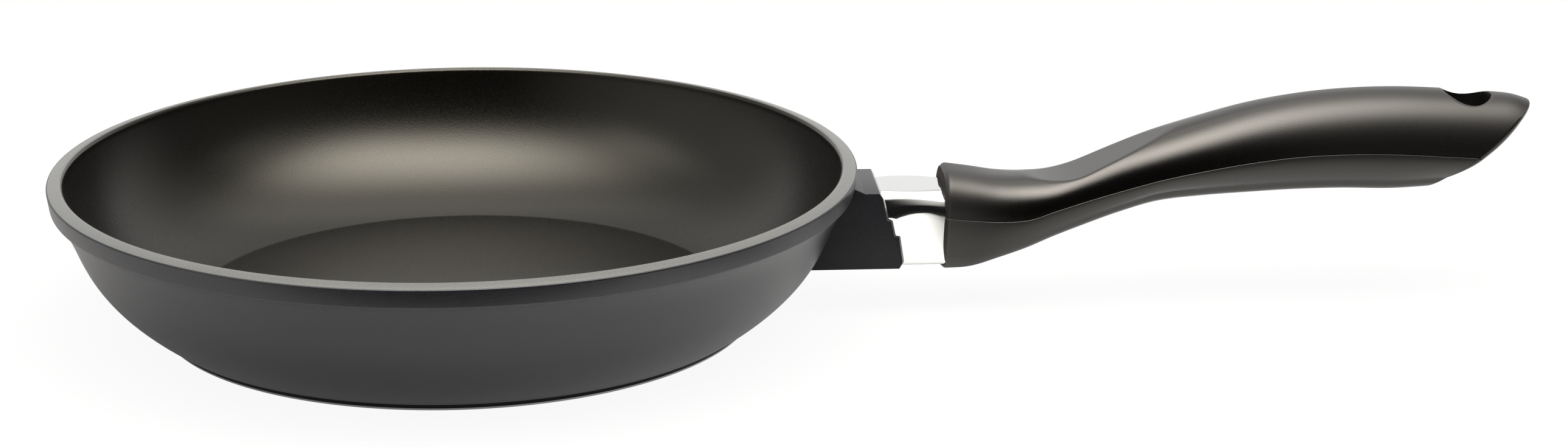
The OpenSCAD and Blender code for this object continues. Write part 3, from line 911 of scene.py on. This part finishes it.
def dark_card():
    """Card that ends sharply in front of the bowl and guard, and fades to clear under the handle."""
    mat, n = new_material("dark_card")
    x, y, _ = n.parts(n.where())
    sharp = n.math("MULTIPLY", n.fade(x, *CARD_SIDE), n.fade(y, *CARD_FRONT))
    clear = n.math("MAXIMUM", n.fade(y, *CARD_CLEAR), sharp)
    dark = n.new("ShaderNodeBsdfDiffuse", {"Color": colour(0.01, 0.01, 0.01)})
    glass = n.new("ShaderNodeBsdfTransparent")
    n.finish(n.new("ShaderNodeMixShader", {0: clear, 1: dark.outputs[0], 2: glass.outputs[0]}))
    return mat


def softbox():
    """Large soft panel overhead, brightest over the pan's near side and fading to its edges."""
    data = bpy.data.lights.new("softbox", "AREA")
    data.shape = "RECTANGLE"
    data.size = PANEL_SIZE[0] * MM
    data.size_y = PANEL_SIZE[1] * MM
    data.energy = PANEL_LEVEL * math.pi * data.size * data.size_y
    data.color = (1.0, 0.975, 0.93)
    data.use_nodes = True
    n = Nodes(data.node_tree, "ShaderNodeOutputLight")
    x, y, _ = n.parts(n.new("ShaderNodeNewGeometry").outputs["Position"])
    wide = n.math("MULTIPLY", n.fade(x, *PANEL_LEFT, "SMOOTHSTEP"), n.fade(x, *PANEL_RIGHT, "SMOOTHSTEP"))
    deep = n.math("MULTIPLY", n.fade(y, *PANEL_NEAR, "SMOOTHSTEP"), n.fade(y, *PANEL_FAR, "SMOOTHSTEP"))
    level = n.math("MULTIPLY", wide, deep)
    n.finish(n.new("ShaderNodeEmission", {"Color": colour(1, 1, 1), "Strength": level}))
    ob = bpy.data.objects.new("softbox", data)
    bpy.context.collection.objects.link(ob)
    ob.location = PANEL_PLACE * MM


def studio():
    """World that the camera sees white: light behind the pan, grey at its sides, dark in front."""
    world = bpy.data.worlds.new("studio")
    world.use_nodes = True
    n = Nodes(world.node_tree, "ShaderNodeOutputWorld")
    x, y, _ = n.parts(n.new("ShaderNodeTexCoord").outputs["Generated"])
    sides = n.math("MAXIMUM", n.span(x, *WORLD_LEFT), n.span(x, *WORLD_RIGHT))
    level = n.math("ADD", n.math("MAXIMUM", n.span(y, *WORLD_BEHIND), sides), WORLD_LEAST)
    level = n.math("MAXIMUM", level, n.new("ShaderNodeLightPath").outputs["Is Camera Ray"])
    n.finish(n.new("ShaderNodeBackground", {"Color": colour(1, 1, 1), "Strength": level}))
    bpy.context.scene.world = world


def camera():
    cam = bpy.data.cameras.new("camera")
    cam.sensor_width = SENSOR_WIDTH
    cam.lens = FOCAL_PIXELS * SENSOR_WIDTH / PHOTO_WIDTH
    cam.clip_start = 0.01
    cam.clip_end = 50
    ob = bpy.data.objects.new("camera", cam)
    bpy.context.collection.objects.link(ob)
    turn = Euler([math.radians(a) for a in CAMERA_ANGLES])
    ob.matrix_world = Matrix.LocRotScale(CAMERA_PLACE * MM, turn, None)
    bpy.context.scene.camera = ob


stage_plane("floor", -FLOOR_REACH, FLOOR_REACH, -FLOOR_REACH, FLOOR_REACH, -FLOOR_DROP, pale_floor())
card = stage_plane("front_card", CARD_LEFT, CARD_RIGHT, -FLOOR_REACH, CARD_BACK, CARD_H, dark_card())
only_in_reflections(card)
softbox()
studio()
camera()
bpy.context.scene.view_settings.view_transform = "Standard"
